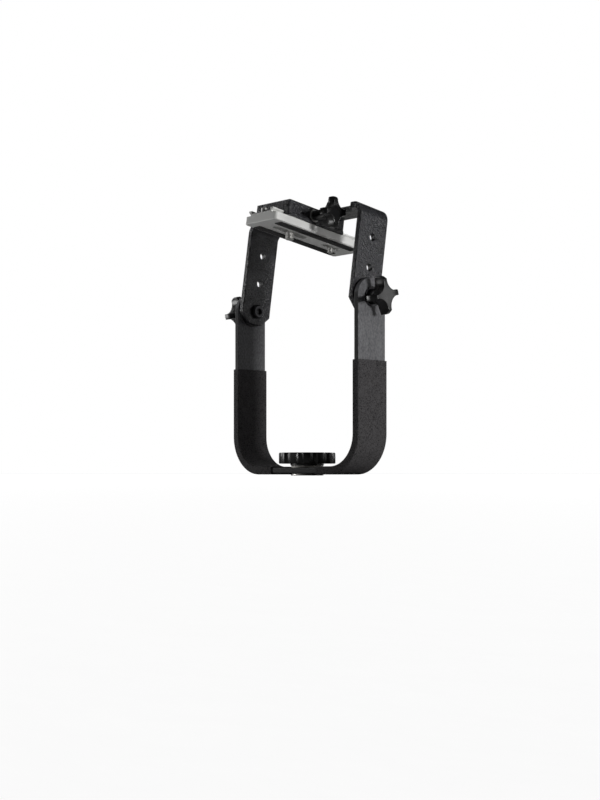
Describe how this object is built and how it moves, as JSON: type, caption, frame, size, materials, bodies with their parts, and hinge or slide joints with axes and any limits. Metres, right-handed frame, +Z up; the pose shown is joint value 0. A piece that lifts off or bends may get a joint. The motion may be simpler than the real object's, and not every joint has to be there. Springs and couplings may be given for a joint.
{
  "type": "gimbal tripod head",
  "caption": "Gimbal head of two nested flat-bar frames with lobed tilt knobs, a pan lock wheel and a knob clamp that holds a sliding lens plate.",
  "frame": {"origin": "centre of the base bush's mounting face, at the mouth of the tripod thread", "axes": "+Z up along the pan axis, X along the tilt axis, +Y towards the front of the lens"},
  "size_m": [0.252, 0.1404, 0.3047],
  "materials": {
    "frame_finish": "smooth satin dark grey anodised bar",
    "cradle_finish": "fine textured black powder coat",
    "sleeve_rubber": "matt textured black rubber",
    "knob_plastic": "satin black moulded plastic",
    "bare_steel": "plated steel",
    "black_steel": "black oxide steel",
    "brass_insert": "turned brass",
    "washer_nylon": "pale nylon",
    "washer_black": "black nylon",
    "bush_metal": "turned aluminium",
    "plate_metal": "pale satin aluminium",
    "pad_rubber": "matt black rubber"
  },
  "bodies": {
    "base": {"base_bush": "bush_metal", "base_friction_washer": "washer_nylon", "pan_retaining_ring": "bare_steel"},
    "pan_wheel": {"pan_lock_wheel": "knob_plastic", "pan_wheel_insert": "brass_insert"},
    "yoke": {"yoke_bar": "frame_finish", "yoke_sleeve_right": "sleeve_rubber", "yoke_sleeve_left": "sleeve_rubber", "pan_thrust_washer": "washer_nylon", "yoke_pivot_bush_right": "brass_insert", "yoke_pivot_bush_left": "brass_insert", "tilt_friction_washer_right": "washer_black", "tilt_friction_washer_left": "washer_black", "tilt_outer_washer_right": "black_steel", "tilt_outer_washer_left": "black_steel"},
    "cradle": {"cradle_bar": "cradle_finish", "tilt_stud_right": "black_steel", "tilt_stud_left": "black_steel", "clamp_body": "cradle_finish", "clamp_thread_bush": "bare_steel", "clamp_mounting_screws": "bare_steel"},
    "right_knob": {"tilt_knob_right": "knob_plastic", "tilt_knob_insert_right": "brass_insert"},
    "left_knob": {"tilt_knob_left": "knob_plastic", "tilt_knob_insert_left": "brass_insert"},
    "pad": {"clamp_pad": "brass_insert"},
    "clamp_knob": {"clamp_knob": "knob_plastic", "clamp_screw": "bare_steel"},
    "plate": {"quick_plate": "plate_metal", "plate_pads": "pad_rubber", "plate_stop_screws": "bare_steel"},
    "quarter_carrier": {"quarter_screw_clip": "bare_steel"},
    "quarter_screw": {"plate_screw_quarter": "bare_steel"},
    "three_eighths_carrier": {"three_eighths_screw_clip": "bare_steel"},
    "three_eighths_screw": {"plate_screw_three_eighths": "bare_steel"}
  },
  "joints": [
    {"name": "pan", "type": "hinge", "parent": "base", "child": "yoke", "pos_m": [0, 0, 0.006], "axis": [0, 0, 1], "continuous": true},
    {"name": "pan_lock_turn", "type": "hinge", "parent": "base", "child": "pan_wheel", "pos_m": [0, 0, 0.016], "axis": [0, 0, 1], "range_deg": [0, 240]},
    {"name": "tilt", "type": "hinge", "parent": "yoke", "child": "cradle", "pos_m": [0, 0, 0.1924], "axis": [1, 0, 0], "continuous": true},
    {"name": "right_knob_turn", "type": "hinge", "parent": "cradle", "child": "right_knob", "pos_m": [0.11, 0, 0.1924], "axis": [1, 0, 0], "range_deg": [0, 360]},
    {"name": "left_knob_turn", "type": "hinge", "parent": "cradle", "child": "left_knob", "pos_m": [-0.11, 0, 0.1924], "axis": [-1, 0, 0], "range_deg": [0, 360]},
    {"name": "pad_slide", "type": "slide", "parent": "cradle", "child": "pad", "axis": [1, 0, 0], "range_m": [0, 0.00125]},
    {"name": "clamp_knob_turn", "type": "hinge", "parent": "pad", "child": "clamp_knob", "pos_m": [0.04, -0.01511, 0.28748], "axis": [1, 0, 0], "range_deg": [0, 360]},
    {"name": "plate_slide", "type": "slide", "parent": "cradle", "child": "plate", "axis": [0, 0.989, -0.1478], "range_m": [-0.0302, 0.0072]},
    {"name": "quarter_screw_slide", "type": "slide", "parent": "plate", "child": "quarter_carrier", "axis": [0, 0.989, -0.1478], "range_m": [-0.01, 0.01]},
    {"name": "quarter_screw_turn", "type": "hinge", "parent": "quarter_carrier", "child": "quarter_screw", "pos_m": [0, 0.03754, 0.26768], "axis": [0, 0.1478, 0.989], "continuous": true},
    {"name": "three_eighths_screw_slide", "type": "slide", "parent": "plate", "child": "three_eighths_carrier", "axis": [0, 0.989, -0.1478], "range_m": [-0.02, 0.02]},
    {"name": "three_eighths_screw_turn", "type": "hinge", "parent": "three_eighths_carrier", "child": "three_eighths_screw", "pos_m": [0, -0.02526, 0.27706], "axis": [0, 0.1478, 0.989], "continuous": true}
  ],
  "couplings": [
    {"joint": "clamp_knob_turn", "follows": "pad_slide", "rad_per_m": 5026.5}
  ]
}
